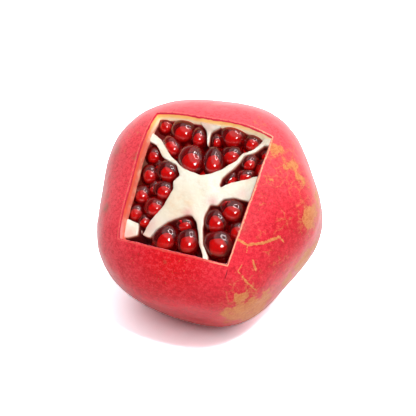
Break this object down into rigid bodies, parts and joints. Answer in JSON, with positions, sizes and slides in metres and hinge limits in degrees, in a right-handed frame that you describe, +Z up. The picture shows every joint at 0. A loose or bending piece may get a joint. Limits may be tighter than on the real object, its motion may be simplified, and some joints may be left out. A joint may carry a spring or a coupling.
{
  "type": "open pomegranate",
  "caption": "Ripe pomegranate lying on its side with a four-sided window cut through its crown end, showing the white core, its septa and the packed red arils",
  "frame": {"origin": "Middle of the bottom of the fruit's box, on the flat spot that it rests on", "axes": "+Z up; the window looks towards -Y and up, along the fruit's own axis, which is 54 degrees above the level"},
  "size_m": [0.0886, 0.0872, 0.0811],
  "materials": {
    "husk": "matte",
    "pith": "matte",
    "aril": "gloss"
  },
  "bodies": {
    "root": {"husk": "husk", "aril_01": "aril", "aril_02": "aril", "aril_03": "aril", "aril_04": "aril", "aril_05": "aril", "aril_06": "aril", "aril_07": "aril", "aril_08": "aril", "aril_09": "aril", "aril_10": "aril", "aril_11": "aril", "aril_12": "aril", "aril_13": "aril", "aril_14": "aril", "aril_15": "aril", "aril_16": "aril", "aril_17": "aril", "aril_18": "aril", "aril_19": "aril", "aril_20": "aril", "aril_21": "aril", "aril_22": "aril", "aril_23": "aril", "aril_24": "aril", "aril_25": "aril", "aril_26": "aril", "aril_27": "aril", "aril_28": "aril", "aril_29": "aril", "aril_30": "aril", "aril_31": "aril", "aril_32": "aril", "aril_33": "aril", "aril_34": "aril", "aril_35": "aril", "aril_36": "aril", "aril_37": "aril", "aril_38": "aril", "aril_39": "aril", "aril_40": "aril", "aril_41": "aril", "aril_42": "aril", "aril_43": "aril", "aril_44": "aril", "aril_45": "aril", "aril_46": "aril", "aril_47": "aril", "aril_48": "aril", "aril_49": "aril", "aril_50": "aril", "aril_51": "aril", "aril_52": "aril", "aril_53": "aril"}
  },
  "joints": []
}
